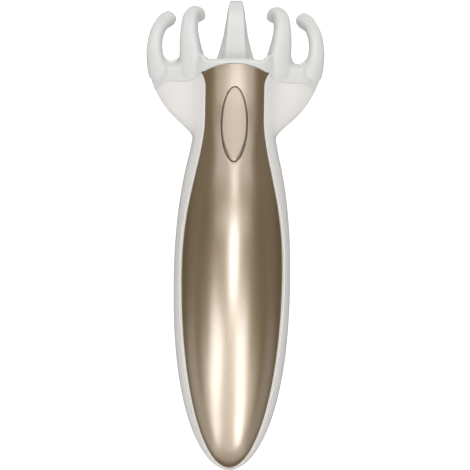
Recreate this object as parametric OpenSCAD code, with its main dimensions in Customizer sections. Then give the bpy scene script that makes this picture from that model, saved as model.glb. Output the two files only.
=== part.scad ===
// Cordless scalp massager: a tapering handle with a metallic front cover and an oval
// power key, and a soft five-finger claw on its flared head. Lengths are in millimetres.
// It lies on its back: +Y runs to the finger tips, +Z out of the front cover, and the
// surface under it is z = 0.

/* [Handle] */
// Distance from the middle of the length to the foot
foot_len = 105; // [103:0.5:107]
// Widest width of the handle
handle_w = 52.1; // [51:0.1:56]
// Station of the widest section
widest_y = -20; // [-22:0.5:-18]
// Height of the front crown above the parting plane
crown_h = 20.5; // [20:0.1:23]
// Depth of the back below the parting plane
belly_h = 19.5; // [19:0.1:21]
// Station of the deepest section
belly_y = -12; // [-14:0.5:-10]
// Length over which the handle would taper to nothing
taper_len = 85; // [84:0.5:88]
// Width of the neck column
neck_w = 36; // [35:0.1:38]
// Height of the neck's front above the parting plane
neck_h = 11.8; // [11.4:0.1:12.6]
// Wall of the rear housing
wall = 2.2; // [1.8:0.1:2.4]

/* [Head] */
// Radius of the flared head, seen from the front
head_r = 39; // [37:0.5:41]
// Station of the centre of the flared head
head_y = 80.5; // [79:0.5:82]
// Half the thickness of the shoulders
web_h = 5.5; // [5.2:0.1:6.5]
// Depth of the palm below the parting plane
palm_h = 6; // [5:0.1:7]
// Station of the palm's front edge between the fingers
palm_end_y = 78.6; // [78:0.1:80]
// Radius of the rounding where the shoulders leave the neck column
shoulder_blend = 8; // [6:0.5:10]

/* [Front cover] */
// Widest width of the cover
cover_w = 44.7; // [42:0.1:46]
// Width of the cover beside the key
cover_neck_w = 26; // [25:0.1:28]
// Width of the cover at its top corners
cover_top_w = 29.6; // [28:0.1:31]
// Station of the top corners
cover_corner_y = 72; // [71:0.1:73]
// Radius of the arched top edge
cover_arc_r = 26.6; // [25:0.1:32]
// Wall of the cover
cover_wall = 2; // [1.6:0.1:2.2]
// Gap round the cover
cover_gap = 0.35; // [0.2:0.05:0.5]

/* [Power key] */
// Length of the key's opening
key_len = 34; // [30:0.1:36]
// Width of the key's opening
key_w = 12; // [10:0.1:13]
// Station of the key's centre
key_y = 49.3; // [48.5:0.1:50.5]
// Gap between the key and its opening
key_gap = 0.4; // [0.3:0.05:0.6]
// Height of the key above the cover
key_proud = 0.3; // [0:0.05:0.6]
// Travel of the key
key_travel = 1.2; // [0.8:0.1:1.2]

/* [Claw] */
// Distance from the middle of the length to the middle finger's tip
claw_len = 105; // [103:0.5:107]
// Height of the claw's skin above the shoulders at the seam
claw_proud = 0.35; // [0.1:0.05:0.5]
// Gap between the claw and the rigid pieces
claw_gap = 0.3; // [0.2:0.05:0.4]
// Radius of the outer fingers' ball tips
outer_tip_r = 3.1; // [2.8:0.1:3.4]
// Radius of the inner fingers' ball tips
inner_tip_r = 3; // [2.8:0.1:3.4]
// Width of the middle finger's tip
middle_tip_w = 6.6; // [6:0.1:7.4]
// Thickness of the claw's carrier plate
carrier_t = 3; // [2.6:0.1:3.2]
// Width of the carrier plate inside the palm
carrier_w = 54; // [48:0.5:56]
// Width of each carrier tongue
tongue_w = 5.6; // [5:0.1:6]
// Distance from the middle to each carrier tongue's centre line
tongue_x = 12.4; // [12:0.1:12.6]

/* [Cells] */
// Diameter of a cell
cell_d = 14.5; // [14:0.1:14.5]
// Length of a cell with its cap
cell_len = 50.5; // [49.5:0.1:50.5]
// Distance between the cells' centre lines
cell_pitch = 15; // [14.8:0.1:15.2]
// Height of the cells' centre lines
cell_z = 15.5; // [15.3:0.1:15.8]
// Wire of the cell springs
spring_wire = 0.7; // [0.5:0.05:0.9]
// Length of a cell spring when a cell is in
spring_len = 4.4; // [4:0.1:4.6]

/* [Battery door] */
// Width of the door
door_w = 33; // [32.6:0.1:33.6]
// Station of the door's hinge edge
door_foot_y = -80; // [-81:0.5:-79.5]
// Station of the door's latch edge
door_latch_y = -18.5; // [-19:0.5:-17]
// Gap round the door
door_gap = 0.3; // [0.2:0.05:0.5]
// Radius of the door's corners
door_corner_r = 3; // [2:0.1:4]

/* [Motor] */
// Diameter of the motor's can
can_d = 12; // [11:0.1:12]
// Length of the can
can_len = 18; // [16:0.5:18]
// Station of the can's rear end
can_y = 36; // [35.5:0.5:37]
// Height of the motor's axis
motor_z = 14.2; // [14.1:0.1:14.4]
// Diameter of the shaft
shaft_d = 2; // [1.5:0.1:2.3]
// Radius of the eccentric weight
weight_r = 5; // [4:0.1:5.2]
// Length of the eccentric weight
weight_len = 6; // [4:0.5:6]
// Wall of the rubber sleeve
sleeve_wall = 0.8; // [0.6:0.1:0.8]

/* [Board] */
// Width of the circuit board
board_w = 24; // [22:0.5:25]
// Thickness of the circuit board
board_t = 1.6; // [1.2:0.1:1.6]
// Height of the board's underside
board_z = 21.4; // [21.3:0.1:21.8]
// Side of the push switch's square body
switch_w = 6; // [5:0.1:6]
// Height of the push switch's body
switch_h = 2.8; // [2.6:0.1:2.9]

/* [Screws] */
// Diameter of the screws that hold the cover
cover_screw_d = 2.6; // [2.2:0.1:3]
// Diameter of the screws inside the housing
inner_screw_d = 2; // [1.8:0.1:2.2]

/* [Hidden] */

// Surface of the whole body
parting_z = belly_h;
foot_power = 2.3;
neck_power = 2.1;
crown_power = 2.35;
neck_blend = 3;
crown_len = 73;
hood_reach = 4.9;
hood_run = 2.6;
hood_y = cover_corner_y + hood_reach;
palm_round_run = 4.6;
palm_round_y = palm_end_y - palm_round_run;
form_over = 0.6;
form_end_y = hood_y + form_over;
form_room = 5;
form_top = parting_z + crown_h + form_room;
foot_rows = 11;
taper_rows = 6;
head_rows = 10;
taper_end_y = 36;
columns = 32;
inner_columns = 20;

// Length a or b, whichever is larger, rounded where they are nearly equal
function round_max(a, b, k) = max(a, b) + pow(max(k - abs(a - b), 0), 2) / (4 * k);

// Falls from 1 at u = 0 to 0 at u = 1, the faster towards the end the larger p is
function arch(u, p) = sqrt(1 - pow(min(max(u, 0), 1), p));

// Radius at angle t of an oval with half sizes a and b
function oval_r(t, a, b) = 1 / norm([cos(t) / a, sin(t) / b]);

// Half width of the handle and neck column at station y, inset by d
function handle_half(y, d) =
    let(full = handle_w / 2 - d)
    y < widest_y
        ? full * arch((widest_y - y) / (foot_len + widest_y - d), foot_power)
        : round_max(full * arch((y - widest_y) / taper_len, neck_power), neck_w / 2 - d, neck_blend);

// Half width of the flared head, 0 where there is none
function head_half(y, d) =
    let(square = pow(head_r - d, 2) - pow(y - head_y, 2))
    square > 1 ? sqrt(square) : 0;

// Rounding of the palm's front edge
function palm_round(y) = arch((y - palm_round_y) / (palm_end_y - palm_round_y), 2);

// Height of the front above the parting plane
function crown(y, d) =
    y < belly_y
        ? (crown_h - d) * arch((belly_y - y) / (foot_len + belly_y - d), foot_power)
        : let(s = min((y - belly_y) / crown_len, 1))
          (neck_h - d + (crown_h - neck_h) * pow(1 - pow(s, crown_power), 2))
          * arch((y - hood_y) / hood_run, 2);

// Depth of the back below the parting plane
function belly(y, d) =
    y < belly_y
        ? (belly_h - d) * arch((belly_y - y) / (foot_len + belly_y - d), foot_power)
        : (palm_h - d + (belly_h - palm_h) * arch((y - belly_y) / (palm_end_y - belly_y), crown_power))
          * palm_round(y);

// Distance from the body's centre line to its surface at angle t
function skin_r(y, t, d) =
    let(
        column = oval_r(t, handle_half(y, d), max(sin(t) > 0 ? crown(y, d) : belly(y, d), 0.1)),
        head = head_half(y, d)
    )
    head == 0
        ? column
        : round_max(column, oval_r(t, head, (web_h - d) * palm_round(y)), shoulder_blend * palm_round(y));

// Point of the surface: s is the angle round the section, closer together at a flat edge
function skin_point(y, s, d) =
    let(
        flatness = max(crown(y, d), web_h) / max(handle_half(y, d), head_half(y, d)),
        t = atan2(flatness * sin(s), cos(s)),
        r = skin_r(y, t, d)
    )
    [r * cos(t), y, parting_z + r * sin(t)];

// Stations of the sections, closer together at the foot and the head
function stations(d) = concat(
    [for (k = [0.3, each [1 : foot_rows]]) widest_y - (foot_len + widest_y - d) * cos(90 * k / foot_rows)],
    [for (k = [1 : taper_rows]) widest_y + (taper_end_y - widest_y) * k / taper_rows],
    [for (k = [1 : head_rows]) taper_end_y + (form_end_y - taper_end_y) * k / head_rows]
);

// Triangles that join ring k of n points to ring k + 1
function band(k, n) = [
    for (j = [0 : n - 1], half = [0, 1])
        half == 0
            ? [k * n + j, k * n + (j + 1) % n, (k + 1) * n + j]
            : [k * n + (j + 1) % n, (k + 1) * n + (j + 1) % n, (k + 1) * n + j]
];

// Closed solid through a list of rings with the same number of points
module loft(rings) {
    n = len(rings[0]);
    last = len(rings) - 1;
    polyhedron(
        points = [for (ring = rings) each ring],
        faces = concat(
            [[for (j = [n - 1 : -1 : 0]) j]],
            [for (k = [0 : last - 1]) each band(k, n)],
            [[for (j = [0 : n - 1]) last * n + j]]
        )
    );
}

// Closed ring through a list of sections, where the last joins the first
module closed_loft(rings) {
    n = len(rings[0]);
    count = len(rings);
    polyhedron(
        points = [for (ring = rings) each ring],
        faces = [
            for (k = [0 : count - 1], j = [0 : n - 1], half = [0, 1])
                let(next = (k + 1) % count, right = (j + 1) % n)
                half == 0
                    ? [k * n + j, next * n + j, k * n + right]
                    : [k * n + right, next * n + j, next * n + right]
        ]
    );
}

// The whole body, inset by d, from the foot to the cover's top edge
module form(d) {
    sides = d > 0 ? inner_columns : columns;
    loft([
        for (y = stations(d))
            [for (j = [0 : sides - 1]) skin_point(y, 360 * j / sides, d)]
    ]);
}

// Outlines seen from the front
cover_foot_rim = 1.2;
cover_foot_y = cover_foot_rim - foot_len;
cover_wide_shift = 2;
cover_wide_y = widest_y + cover_wide_shift;
cover_taper_len = 70;
cover_flare_len = 6;
cover_arc_y = cover_corner_y - sqrt(pow(cover_arc_r, 2) - pow(cover_top_w / 2, 2));
outline_steps = 16;
arc_steps = 8;

// Half width of the cover at station y
function cover_half(y) =
    y < cover_wide_y
        ? cover_w / 2 * arch((cover_wide_y - y) / (cover_wide_y - cover_foot_y), 2)
        : let(
              s = min((y - cover_wide_y) / cover_taper_len, 1),
              flare = max(y - cover_corner_y + cover_flare_len, 0) / cover_flare_len
          )
          cover_neck_w / 2
          + (cover_w - cover_neck_w) / 2 * pow(1 - pow(s, crown_power), 2)
          + (cover_top_w - cover_neck_w) / 2 * pow(flare, 2);

// Right side of the cover's outline from the foot to the top corner
cover_side = concat(
    [for (k = [0 : outline_steps])
        let(y = cover_wide_y - (cover_wide_y - cover_foot_y) * cos(90 * k / outline_steps))
        [cover_half(y), y]],
    [for (k = [1 : outline_steps])
        let(y = cover_wide_y + (cover_corner_y - cover_wide_y) * k / outline_steps)
        [cover_half(y), y]]
);
arc_half = asin(cover_top_w / 2 / cover_arc_r);
cover_arc = [
    for (k = [1 : arc_steps - 1])
        let(a = arc_half * (1 - 2 * k / arc_steps))
        [cover_arc_r * sin(a), cover_arc_y + cover_arc_r * cos(a)]
];
cover_outline = concat(
    cover_side,
    cover_arc,
    [for (k = [len(cover_side) - 1 : -1 : 1]) [-cover_side[k][0], cover_side[k][1]]]
);

// Upright prism over the cover's outline, grown by a margin
module cover_prism(margin, z0) {
    translate([0, 0, z0])
        linear_extrude(form_top - z0)
            offset(delta = margin)
                polygon(cover_outline);
}

// Upright prism over an oval round the key's centre
module key_prism(margin, z0, z1) {
    a = key_w / 2 + margin;
    b = key_len / 2 + margin;
    translate([0, key_y, z0])
        linear_extrude(z1 - z0)
            polygon([for (k = [1 : key_steps]) [a * cos(360 * k / key_steps), b * sin(360 * k / key_steps)]]);
}

// Station of the seam between the housing and the claw, at distance x from the middle
seam_rise = 4.65;
seam_lift = 0.8;
seam_y = cover_corner_y + seam_lift - seam_rise;
seam_in_x = 22.6;
seam_out_x = 30;
seam_inset = 0.1;
seam_corner_x = cover_top_w / 2 + seam_inset;
seam_drop = 5.5;
seam_drop_run = 6;
seam_steps = 12;
seam_room = 3;
function seam(x) =
    seam_y
    + seam_rise * pow(max(seam_in_x - x, 0) / (seam_in_x - seam_corner_x), 2)
    - seam_drop * pow(max(x - seam_out_x, 0) / seam_drop_run, 2);

// Upright prism over everything beyond the seam, moved by a gap
module beyond_seam(gap) {
    side_x = head_r + seam_room;
    edge = [
        for (k = [0 : seam_steps])
            let(x = seam_corner_x + (side_x - seam_corner_x) * k / seam_steps)
            [x, seam(x) + gap]
    ];
    translate([0, 0, -1])
        linear_extrude(form_top + 1)
            polygon(concat(
                [[-side_x, claw_len + form_room]],
                [for (k = [len(edge) - 1 : -1 : 0]) [-edge[k][0], edge[k][1]]],
                edge,
                [[side_x, claw_len + form_room]]
            ));
}

// Fixed sizes of the inner pieces
rib_t = 1.2;
rib_drop = 2;
gusset_w = 3;
ledge_w = 1.2;
ledge_t = 1;
ledge_start = 8;
door_wall = 2;
bed_drop = 1.3;
bed_z = parting_z - bed_drop;
foot_post_y = -91;
mid_post_x = 12;
foot_post_z = 16;
mid_post_z = 10;
post_seat_t = 4.6;
post_bore = 7;
cover_head_d = 5;
cover_head_h = 1.8;
inner_head_d = 3.8;
inner_head_h = 1.3;
inner_bore = 5;
foot_ear_y = -82.2;
ear_x = 12.5;
ear_y = 18;
ear_w = 5.4;
tongue_y = 58;
tongue_end_y = 54;
carrier_inset = 1;
carrier_start_y = seam_y + carrier_inset;
carrier_skin = 2.6;
carrier_end_y = palm_end_y - carrier_skin;
bond_hole_d = 3;
shelf_rise = 5.8;
cover_shelf_z = bed_z + shelf_rise;
palm_start_y = 60;
palm_rows = 9;
palm_bow = 4;

// Fingers: control points of their centre lines and their sizes along them
finger_steps = 8;
outer_path = [
    [32, 70, 19.5], [37.6, 78, 20.5], [36.6, 86.5, 18], [35.2, 92.5, 12], [30.4, 95.7, outer_tip_r]
];
outer_sizes = [[0, 4.4], [0.25, 3.6], [0.5, 3.15], [0.8, 2.8], [0.92, outer_tip_r], [1, outer_tip_r]];
inner_path = [
    [19, 72, 19.5], [19.9, 82, 20.5], [22.4, 91, 18.5], [20.5, 101, 11], [16.9, 98.1, inner_tip_r]
];
inner_sizes = [[0, 5.4], [0.25, 4.8], [0.5, 3.8], [0.8, 3.2], [0.92, inner_tip_r], [1, inner_tip_r]];
tip_run = 4;
tip_turn = 3.3;
middle_path = [
    [0, 74, 20], [0, 90, 21.5], [0, claw_len - tip_run, 21], [0, claw_len - tip_turn, 10],
    [0, claw_len - tip_turn, 0.1]
];
middle_half_w = [
    [0, 9], [0.1, 7.8], [0.25, 5.8], [0.5, 4.1], [0.75, middle_tip_w / 2 + 0.2],
    [0.93, middle_tip_w / 2], [1, middle_tip_w / 2 - 0.8]
];
middle_half_h = [[0, 5], [0.25, 4.4], [0.5, 3.9], [0.75, 3.4], [0.93, 3.3], [1, 2.6]];
facet_share = 0.72;

key_steps = 40;
key_rest = 0.3;
key_flange_w = 1.4;
key_flange_t = 1;
key_edge = 0.5;
key_dome = 0.2;
key_core = 0.5 - key_w / 2;
flange_bevel = 0.3;
gasket_in = 0.5;
gasket_out = 2.6;
gasket_t = 0.6;
gasket_d = cover_wall + 0.5;

hook_x = 6;
hook_w = 4;
hook_t = 1.2;
hook_reach = 3;
hook_root = 4;
grip_count = 8;
grip_w = 9;
grip_pitch = 1.5;
grip_start = 3;
grip_z = 0.2;
grip_d = 1;

cell_fit = 0.3;
cell_cap_d = 5.5;
cell_cap_h = 1.5;
bay_side_z = 17;
foot_wall_w = 26;
foot_wall_z = 13;
head_wall_z = 9;
rail_x = 7.3;
rail_w = 2.2;
rail_end_y = 53;
saddle_t = 2.5;
pad_x = 9.8;
pad_w = 4;
board_start_y = 22.5;
board_end_y = 54;
board_screw_y = 26;
clamp_y = 44.5;
clamp_w = 5;
clamp_t = 0.6;
cap_x = 5;
cap_d = 4;
cap_len = 6;
transistor_w = 4;
diode_d = 1.8;
switch_floor = 0.4;
plunger_d = 3.2;
shaft_hold = 6;
bush_len = 1.4;
bush_d = 6;
weight_gap = 0.6;
terminal_x = 2.5;
terminal_len = 1.5;
contact_w = 9;
bridge_w = 25;
tag_x = 4;
tag_w = 2;
tag_z = 20;
tag_len = 4;
spring_turns = 3;
spring_sides = 8;
spring_base_r = 4.5;
spring_tip_r = 2.8;
lead_d = 1.2;
lead_bend_r = 2.4;
lead_fall = 14;
lead_fall_steps = 4;
lead_drop = 2;
lead_z = bed_z - lead_drop;
lead_reach = 0.6;
lead_end_y = board_screw_y + lead_reach;

// Station arrays of the bosses and posts
cover_posts = [[0, foot_post_y], [-mid_post_x, 0], [mid_post_x, 0]];
chassis_ears = [[0, foot_ear_y], [-ear_x, ear_y], [ear_x, ear_y]];
carrier_bosses = [[-tongue_x, tongue_y], [tongue_x, tongue_y]];

function post_z(p) = p[1] < widest_y ? foot_post_z : mid_post_z;
function seat_z(p) = post_z(p) - post_seat_t;

// Boss on the back wall with a gusset on each side
module boss(p, top, d) {
    translate([p[0], p[1], 0]) cylinder(h = top, d = d, $fn = 20);
    for (side = [-1, 1]) hull() {
        translate([p[0] - rib_t / 2, p[1] - rib_t / 2, 0]) cube([rib_t, rib_t, top - rib_drop]);
        translate([p[0] - rib_t / 2, p[1] + side * (d / 2 + gusset_w) - rib_t / 2, 0])
            cube([rib_t, rib_t, top / 2]);
    }
}

// Post under the cover with a rib on each side at its root
module cover_post(p) {
    root_z = post_z(p) + post_bore + 4;
    translate([p[0], p[1], post_z(p)]) cylinder(h = form_top, d = cover_screw_d + 3.2, $fn = 32);
    for (a = [30, 150, 270]) translate([p[0], p[1], root_z]) rotate(a) hull() {
        translate([0, -rib_t / 2, 0]) cube([rib_drop, rib_t, form_top]);
        translate([0, -rib_t / 2, 2 * gusset_w]) cube([rib_drop + gusset_w, rib_t, form_top]);
    }
}

module rear_housing() {
    color("whitesmoke")
    difference() {
        union() {
            difference() {
                form(0);
                form(wall);
            }
            intersection() {
                door_box(ledge_w + door_gap, -ledge_start);
                difference() {
                    form(wall / 2);
                    form(door_wall + door_gap + ledge_t);
                }
            }
            intersection() {
                form(wall / 2);
                union() {
                    for (p = cover_posts) boss(p, post_z(p), cover_head_d + 3.4);
                    for (p = concat(chassis_ears, carrier_bosses)) boss(p, bed_z, inner_screw_d + 3.2);
                }
            }
        }
        cover_prism(cover_gap, parting_z);
        beyond_seam(0);
        difference() {
            door_box(door_gap, door_gap);
            form(door_wall + door_gap);
        }
        door_box(-ledge_w, 0);
        for (p = cover_posts) translate([p[0], p[1], -1]) {
            cylinder(h = seat_z(p) + 1, d = cover_head_d + 1, $fn = 16);
            cylinder(h = form_top, d = cover_screw_d + 0.4, $fn = 16);
        }
        for (p = concat(chassis_ears, carrier_bosses))
            translate([p[0], p[1], bed_z - inner_bore])
                cylinder(h = inner_bore + 1, d = inner_screw_d + 0.1, $fn = 16);
    }
}

module front_cover() {
    color([0.68, 0.6, 0.5])
    difference() {
        intersection() {
            cover_prism(0, 0);
            union() {
                intersection() {
                    cover_prism(1, parting_z);
                    difference() {
                        form(0);
                        form(cover_wall);
                    }
                }
                intersection() {
                    form(cover_wall / 2);
                    union() for (p = cover_posts) cover_post(p);
                }
            }
        }
        key_prism(0, parting_z, form_top);
        for (p = cover_posts)
            translate([p[0], p[1], 0])
                cylinder(h = post_z(p) + post_bore, d = cover_screw_d + 0.1, $fn = 24);
    }
}

// Claw

// Point at u = 0 to 1 of the Bezier curve of a list of control points
function bezier(points, u) =
    len(points) == 1
        ? points[0]
        : bezier([for (k = [0 : len(points) - 2]) points[k] * (1 - u) + points[k + 1] * u], u);

// Soft round finger along a curve: sizes lists its radius at values of u
module round_finger(path, sizes) {
    for (k = [0 : finger_steps - 1]) hull() {
        for (u = [k / finger_steps, (k + 1) / finger_steps])
            translate(bezier(path, u)) sphere(r = lookup(u, sizes), $fn = 12);
    }
}

// Slice of the middle finger: a flat front face between bevelled sides
module middle_slice(u) {
    ahead = bezier(middle_path, min(u + 0.02, 1)) - bezier(middle_path, max(u - 0.02, 0));
    w = lookup(u, middle_half_w);
    h = lookup(u, middle_half_h);
    translate(bezier(middle_path, u)) rotate([90 + atan2(ahead[2], ahead[1]), 0, 0])
        linear_extrude(0.1, center = true)
            polygon([
                [-w * facet_share, h], [-w, h * 0.1], [-w * 0.85, -h * 0.6], [-w * 0.5, -h],
                [w * 0.5, -h], [w * 0.85, -h * 0.6], [w, h * 0.1], [w * facet_share, h]
            ]);
}

module middle_finger() {
    for (k = [0 : finger_steps - 1]) hull() {
        middle_slice(k / finger_steps);
        middle_slice((k + 1) / finger_steps);
    }
}

// Palm: the head's own surface, closed by a rounded edge between the fingers
module palm() {
    loft([
        for (k = [0 : palm_rows])
            let(y = palm_start_y + (palm_end_y - 0.15 - palm_start_y) * sin(90 * k / palm_rows))
            [for (j = [0 : columns - 1])
                let(p = skin_point(y, 360 * j / columns, -claw_proud))
                p - [0, palm_bow * pow(p[0] / head_r, 2) * pow(k / palm_rows, 2), 0]]
    ]);
}

module claw() {
    color("gainsboro")
    difference() {
        intersection() {
            beyond_seam(claw_gap);
            union() {
                palm();
                middle_finger();
                for (side = [-1, 1]) scale([side, 1, 1]) {
                    round_finger(outer_path, outer_sizes);
                    round_finger(inner_path, inner_sizes);
                }
            }
        }
        cover_prism(cover_gap, cover_shelf_z);
        translate([-carrier_w / 2 - claw_gap, 0, bed_z - claw_gap])
            cube([carrier_w + 2 * claw_gap, carrier_end_y + claw_gap, carrier_t + 2 * claw_gap]);
    }
}

module claw_carrier() {
    color("dimgray")
    difference() {
        translate([0, 0, bed_z]) linear_extrude(carrier_t) {
            translate([-carrier_w / 2, carrier_start_y])
                square([carrier_w, carrier_end_y - carrier_start_y]);
            for (side = [-1, 1])
                translate([side * tongue_x - tongue_w / 2, tongue_end_y])
                    square([tongue_w, carrier_start_y + 1 - tongue_end_y]);
        }
        for (p = carrier_bosses)
            translate([p[0], p[1], 0]) cylinder(h = form_top, d = inner_screw_d + 0.2, $fn = 24);
        for (side = [-1, 0, 1])
            translate([side * carrier_w / 3, (carrier_start_y + carrier_end_y) / 2, 0])
                cylinder(h = form_top, d = bond_hole_d, $fn = 24);
    }
}

// Power key

// Height of the skin above the point x, y of the neck
function skin_z(x, y, d) = parting_z + crown(y, d) * arch(abs(x) / handle_half(y, d), 2);

// Ring round the key's centre: the opening's oval grown by a margin, at an inset from the skin
function key_ring(margin, d) = [
    for (k = [0 : key_steps - 1])
        let(
            a = -360 * k / key_steps,
            x = (key_w / 2 + margin) * cos(a),
            y = key_y + (key_len / 2 + margin) * sin(a)
        )
        [x, y, skin_z(x, y, d)]
];

key_flange_d = gasket_d + gasket_t + key_rest;
key_under_d = key_flange_d + key_flange_t;

module power_button() {
    color([0.84, 0.78, 0.7])
    loft([
        key_ring(key_core, key_under_d),
        key_ring(key_flange_w - flange_bevel, key_under_d),
        key_ring(key_flange_w, key_under_d - flange_bevel),
        key_ring(key_flange_w, key_flange_d),
        key_ring(-key_gap, key_flange_d),
        key_ring(-key_gap, key_edge - key_proud),
        key_ring(-key_gap - key_edge, -key_proud),
        key_ring(key_core / 2, -key_proud - key_dome * 0.75),
        key_ring(key_core, -key_proud - key_dome)
    ]);
}

module button_gasket() {
    color("darkslategray")
    closed_loft([
        key_ring(gasket_in, gasket_d),
        key_ring(gasket_out, gasket_d),
        key_ring(gasket_out, gasket_d + gasket_t),
        key_ring(gasket_in, gasket_d + gasket_t)
    ]);
}

// Battery door

// Upright box with round corners over the door, grown by one margin at its sides and latch
// edge and by another at its hinge edge
module door_box(margin, foot_margin) {
    r = door_corner_r + margin;
    side_x = door_w / 2 - door_corner_r;
    start_y = door_foot_y - foot_margin + r;
    translate([0, 0, -1])
        linear_extrude(parting_z + 1)
            offset(r = r, $fn = 12)
                polygon([
                    [-side_x, start_y], [side_x, start_y],
                    [side_x, door_latch_y - door_corner_r], [-side_x, door_latch_y - door_corner_r]
                ]);
}

// Tongues that reach from the door's inside under the housing's wall
module door_hooks() {
    for (side = [-1, 1]) intersection() {
        difference() {
            union() {
                form(wall + door_gap);
                intersection() {
                    form(door_wall / 2);
                    door_box(0, 0);
                }
            }
            form(wall + door_gap + hook_t);
        }
        translate([side * hook_x - hook_w / 2, door_foot_y - hook_reach, 0])
            cube([hook_w, hook_reach + hook_root, parting_z]);
    }
}

module battery_door() {
    color("whitesmoke")
    difference() {
        union() {
            intersection() {
                door_box(0, 0);
                difference() {
                    form(0);
                    form(door_wall);
                }
            }
            door_hooks();
        }
        for (k = [0 : grip_count - 1]) hull() {
            for (side = [-1, 1])
                translate([side * grip_w / 2, door_latch_y - grip_start - k * grip_pitch, grip_z])
                    sphere(d = grip_d, $fn = 12);
        }
    }
}

// Inner frame

contact_t = 0.4;
bay_wall = 1.2;
bay_foot_y = door_foot_y + 2.9;
bay_head_y = bay_foot_y + spring_len + cell_len + cell_fit;
bay_w = cell_pitch + cell_d + 0.6;
bay_top_z = cell_z + cell_d / 2 + 0.3;
head_wall_y = bay_head_y + contact_t;
sleeve_r = can_d / 2 + 0.05 + sleeve_wall;
saddle_r = sleeve_r + 0.05;
rail_t = board_z - bed_z;
ear_t = 2.2;

module block(x0, x1, y0, y1, z0, z1) {
    translate([x0, y0, z0]) cube([x1 - x0, y1 - y0, z1 - z0]);
}

module chassis() {
    color("slategray")
    difference() {
        union() {
            block(-bay_w / 2 - bay_wall, bay_w / 2 + bay_wall, bay_foot_y - contact_t - bay_wall,
                head_wall_y + bay_wall, bay_top_z, bay_top_z + bay_wall);
            for (side = [-1, 1]) {
                translate([side * (bay_w + bay_wall) / 2 - bay_wall / 2, bay_foot_y - contact_t, bay_side_z])
                    cube([bay_wall, head_wall_y - bay_foot_y + contact_t + bay_wall, bay_top_z - bay_side_z + 0.5]);
                translate([side * rail_x - rail_w / 2, head_wall_y, bed_z])
                    cube([rail_w, rail_end_y - head_wall_y, rail_t]);
                for (y = [board_screw_y, clamp_y])
                    translate([side * pad_x - pad_w / 2, y - pad_w / 2, bed_z])
                        cube([pad_w, pad_w, rail_t]);
            }
            block(-foot_wall_w / 2, foot_wall_w / 2, bay_foot_y - contact_t - bay_wall,
                bay_foot_y - contact_t, foot_wall_z, bay_top_z + 0.5);
            block(-bay_w / 2 - bay_wall, bay_w / 2 + bay_wall, head_wall_y, head_wall_y + bay_wall,
                head_wall_z, bay_top_z + 0.5);
            block(-ear_w / 2, ear_w / 2, foot_ear_y - ear_w / 2, bay_foot_y - contact_t, bed_z, bed_z + ear_t);
            block(-ear_x - ear_w / 2, ear_x + ear_w / 2, ear_y - ear_w / 2, ear_y + ear_w / 2,
                bed_z, bed_z + ear_t);
            for (y = [can_y + 1, can_y + can_len - 1 - saddle_t])
                block(-rail_x - rail_w / 2, rail_x + rail_w / 2, y, y + saddle_t, motor_z - 1, board_z);
        }
        translate([0, can_y, motor_z]) rotate([-90, 0, 0])
            cylinder(h = can_len, r = saddle_r, $fn = 48);
        for (p = chassis_ears)
            translate([p[0], p[1], 0]) cylinder(h = form_top, d = inner_screw_d + 0.2, $fn = 24);
        for (side = [-1, 1]) {
            for (y = [board_screw_y, clamp_y])
                translate([side * pad_x, y, 0])
                    cylinder(h = form_top, d = inner_screw_d + 0.1, $fn = 24);
            translate([side * tag_x - tag_w / 2 - 0.1, head_wall_y - 1, tag_z - 0.1])
                cube([tag_w + 0.2, bay_wall + 2, contact_t + 0.2]);
        }
    }
}

// Electronics

module circuit_board() {
    color("darkgreen")
    difference() {
        block(-board_w / 2, board_w / 2, board_start_y, board_end_y, board_z, board_z + board_t);
        for (side = [-1, 1]) translate([side * pad_x, board_screw_y, 0])
            cylinder(h = form_top, d = inner_screw_d + 0.2, $fn = 24);
    }
}

board_top_z = board_z + board_t;

// Capacitor, transistor and diode
module board_parts() {
    color("darkslateblue")
    translate([-cap_x, board_screw_y - cap_len / 2, board_top_z + cap_d / 2]) rotate([-90, 0, 0])
        cylinder(h = cap_len, d = cap_d, $fn = 32);
    color("black")
    translate([0, board_screw_y - transistor_w / 2, board_top_z])
        cube([transistor_w, transistor_w, transistor_w / 2]);
    color("orange")
    translate([cap_x + 1.5, board_screw_y - 2, board_top_z + diode_d / 2]) rotate([-90, 0, 0])
        cylinder(h = 4, d = diode_d, $fn = 24);
}

module push_switch() {
    color("dimgray")
    difference() {
        block(-switch_w / 2, switch_w / 2, key_y - switch_w / 2, key_y + switch_w / 2,
            board_top_z, board_top_z + switch_h);
        translate([0, key_y, board_top_z + switch_floor])
            cylinder(h = switch_h, d = plunger_d + 0.1, $fn = 32);
    }
}

plunger_top_z = skin_z(0, key_y, key_under_d) - key_rest;
plunger_low_z = board_top_z + switch_floor + key_travel + 0.2;

module switch_plunger() {
    color("white")
    translate([0, key_y, plunger_low_z])
        cylinder(h = plunger_top_z - plunger_low_z, d = plunger_d, $fn = 32);
}

// Motor

bush_y = can_y + can_len;
shaft_start_y = bush_y - shaft_hold;
weight_y = bush_y + bush_len + weight_gap;

// Turned piece on the motor's axis, from station y
module turned(y, len, d) {
    translate([0, y, motor_z]) rotate([-90, 0, 0]) cylinder(h = len, d = d, $fn = 48);
}

module motor_can() {
    color("silver")
    difference() {
        union() {
            turned(can_y, can_len, can_d);
            for (side = [-1, 1])
                block(side * terminal_x - 0.4, side * terminal_x + 0.4, can_y - terminal_len, can_y + 1,
                    motor_z - 1, motor_z + 1);
        }
        turned(shaft_start_y - 0.2, can_len, shaft_d + 0.1);
    }
}

module motor_bush() {
    color("goldenrod")
    difference() {
        turned(bush_y, bush_len, bush_d);
        turned(bush_y - 1, bush_len + 2, shaft_d + 0.1);
    }
}

module motor_shaft() {
    color("lightgray")
    turned(shaft_start_y, weight_y + weight_len + 0.5 - shaft_start_y, shaft_d);
}

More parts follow.
